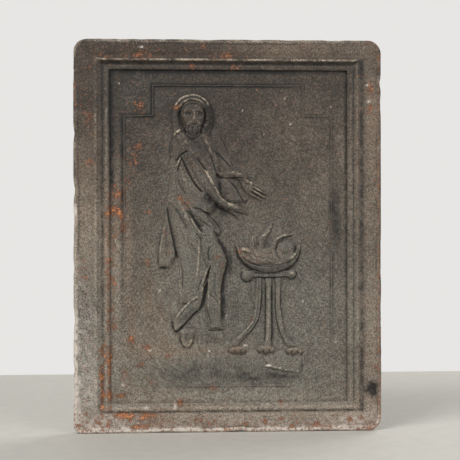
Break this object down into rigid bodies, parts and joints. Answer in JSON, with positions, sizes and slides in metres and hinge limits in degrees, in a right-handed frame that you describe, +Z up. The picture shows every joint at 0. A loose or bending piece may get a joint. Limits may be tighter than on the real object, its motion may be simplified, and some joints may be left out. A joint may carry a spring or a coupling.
{
  "type": "cast iron stove plate",
  "caption": "Rectangular cast iron stove plate with a moulded border, an eared panel line and, in relief, a hooded figure warming its hands at a tripod brazier.",
  "frame": {"origin": "on the bottom edge, under the middle of the plate's width and of its depth with the relief", "axes": "+Z is up the plate, +X to the right seen from the front, and the relief faces -Y"},
  "size_m": [0.3, 0.0145, 0.382],
  "materials": {
    "patinated_iron": "sand-cast surface, dull grey-brown patina with rust spots and worn edges"
  },
  "bodies": {
    "root": {"back_plate": "patinated_iron", "beard": "patinated_iron", "bottom_band": "patinated_iron", "bottom_moulding": "patinated_iron", "bowl": "patinated_iron", "centre_leg": "patinated_iron", "centre_paw": "patinated_iron", "collar": "patinated_iron", "curled_flame": "patinated_iron", "ember_bed": "patinated_iron", "far_arm": "patinated_iron", "far_forearm": "patinated_iron", "far_hand": "patinated_iron", "front_skirt": "patinated_iron", "ground_bank": "patinated_iron", "head": "patinated_iron", "hood": "patinated_iron", "left_band": "patinated_iron", "left_leg": "patinated_iron", "left_log": "patinated_iron", "left_moulding": "patinated_iron", "left_paw": "patinated_iron", "left_volute": "patinated_iron", "lower_swag": "patinated_iron", "mantle_tail": "patinated_iron", "near_arm": "patinated_iron", "near_hand": "patinated_iron", "panel_line": "patinated_iron", "rear_skirt": "patinated_iron", "right_band": "patinated_iron", "right_leg": "patinated_iron", "right_moulding": "patinated_iron", "right_paw": "patinated_iron", "right_volute": "patinated_iron", "rock_ledge": "patinated_iron", "round_log": "patinated_iron", "short_flame": "patinated_iron", "sleeve_drape": "patinated_iron", "standing_foot": "patinated_iron", "tall_flame": "patinated_iron", "top_band": "patinated_iron", "top_moulding": "patinated_iron", "torso": "patinated_iron", "trailing_foot": "patinated_iron", "trailing_hem": "patinated_iron", "upper_swag": "patinated_iron"}
  },
  "joints": []
}
